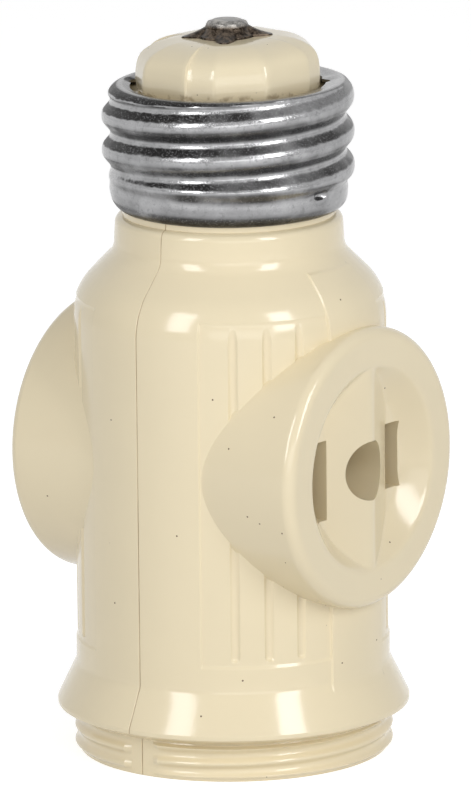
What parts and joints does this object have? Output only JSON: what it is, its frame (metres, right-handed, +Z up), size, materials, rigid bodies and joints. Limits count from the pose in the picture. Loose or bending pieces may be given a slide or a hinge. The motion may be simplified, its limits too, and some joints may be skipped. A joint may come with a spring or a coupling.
{
  "type": "lamp socket adapter",
  "caption": "Screw-in lamp socket adapter: a screw base above, a plug outlet on each side and a lamp socket below, in a two-part moulded body.",
  "frame": {"origin": "centre of the bottom rim, on the screw axis", "axes": "+Z up the screw axis to the centre contact, +X and -X out of the two plug outlets, the seam of the body on X = 0"},
  "size_m": [0.0368, 0.0368, 0.0773],
  "materials": {
    "moulding": "glossy ivory moulding",
    "cap_moulding": "ivory moulding, lightly soiled",
    "base_metal": "nickel plate, pitted and grimy",
    "tarnished_metal": "dark tarnish",
    "shell_metal": "rolled thin sheet",
    "fibre": "pressed fibre board",
    "strap_brass": "stamped sheet"
  },
  "bodies": {
    "root": {"right_body_half": "moulding", "left_body_half": "moulding", "male_screw_shell": "base_metal", "insulator_cap": "cap_moulding", "contact_plate": "tarnished_metal", "contact_rivet": "tarnished_metal", "socket_shell": "shell_metal", "insulating_disc": "fibre", "socket_contact": "strap_brass", "neutral_strap": "strap_brass", "hot_strap": "strap_brass", "neutral_clip_right": "strap_brass", "neutral_clip_left": "strap_brass", "hot_clip_right": "strap_brass", "hot_clip_left": "strap_brass", "shell_rivets": "strap_brass", "hot_rivets": "strap_brass", "tongue_rivet": "strap_brass", "body_rivet": "tarnished_metal"}
  },
  "joints": []
}
